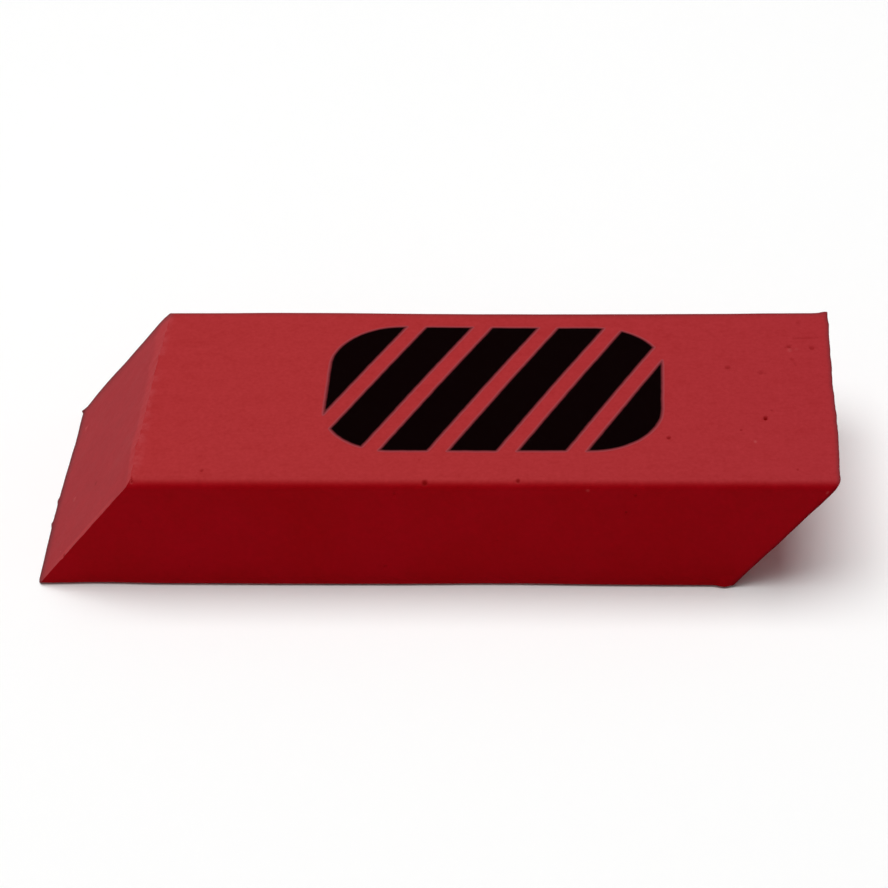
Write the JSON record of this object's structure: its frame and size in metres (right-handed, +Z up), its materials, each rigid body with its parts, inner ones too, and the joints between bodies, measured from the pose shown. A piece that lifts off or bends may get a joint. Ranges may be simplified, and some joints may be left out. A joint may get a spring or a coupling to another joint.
{
  "type": "block eraser",
  "caption": "Solid red rubber block with slanting, parallel end cuts, rounded long edges and a flat black striped mark printed on its top face.",
  "frame": {"origin": "bottom centre of the bounding box, on the surface that the block lies on", "axes": "+X along the block, towards the end that overhangs at the top; +Y to the back; +Z up, through the printed top face"},
  "size_m": [0.0604, 0.023, 0.0098],
  "materials": {
    "red_rubber": "matte",
    "black_ink": "satin"
  },
  "bodies": {
    "root": {"bar_body": "red_rubber", "ink_stripe_1": "black_ink", "ink_stripe_2": "black_ink", "ink_stripe_3": "black_ink", "ink_stripe_4": "black_ink", "ink_stripe_5": "black_ink", "ink_stripe_6": "black_ink"}
  },
  "joints": []
}
